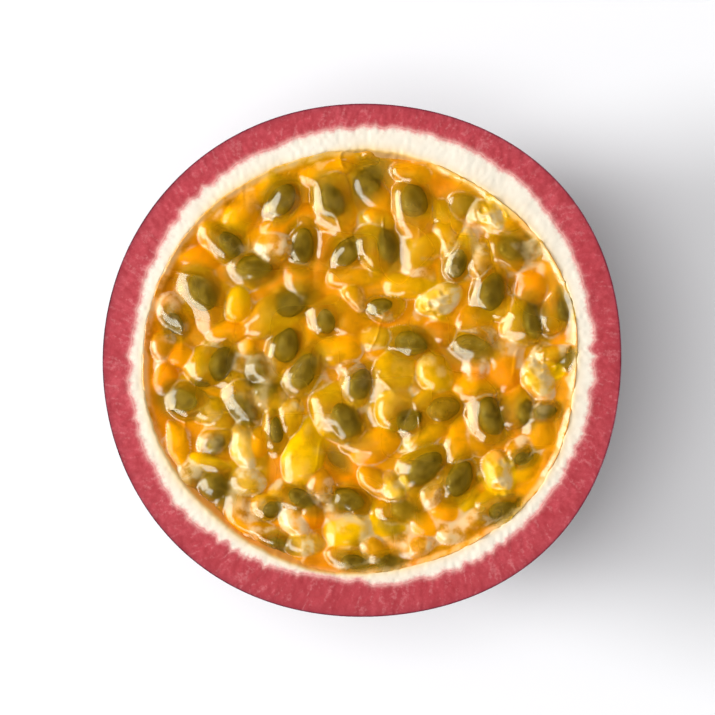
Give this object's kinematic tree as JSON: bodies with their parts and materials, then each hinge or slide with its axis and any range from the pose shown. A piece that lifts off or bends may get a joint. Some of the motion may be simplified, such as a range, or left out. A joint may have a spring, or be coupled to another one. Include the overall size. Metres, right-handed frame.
{
  "type": "passion fruit half",
  "caption": "Ripe passion fruit cut across the middle, lying on its rounded end with the cut face up: thick crimson shell, white pith and a filling of yellow juice and seed sacs.",
  "frame": {"origin": "middle of the small flat spot that the fruit rests on, at the bottom of its bounding box", "axes": "+Z up, square to the cut face; +X and +Y lie along the cut face, +X to the right and +Y up as the cut face is seen from above"},
  "size_m": [0.0649, 0.0641, 0.0314],
  "materials": {
    "shell": "moist crimson flesh at the cut, satin dark purple skin outside",
    "pith": "soft cream white pith",
    "pulp": "wet glossy yellow juice sacs with dark seeds inside"
  },
  "bodies": {
    "root": {"shell": "shell", "pith": "pith", "pulp": "pulp"}
  },
  "joints": []
}
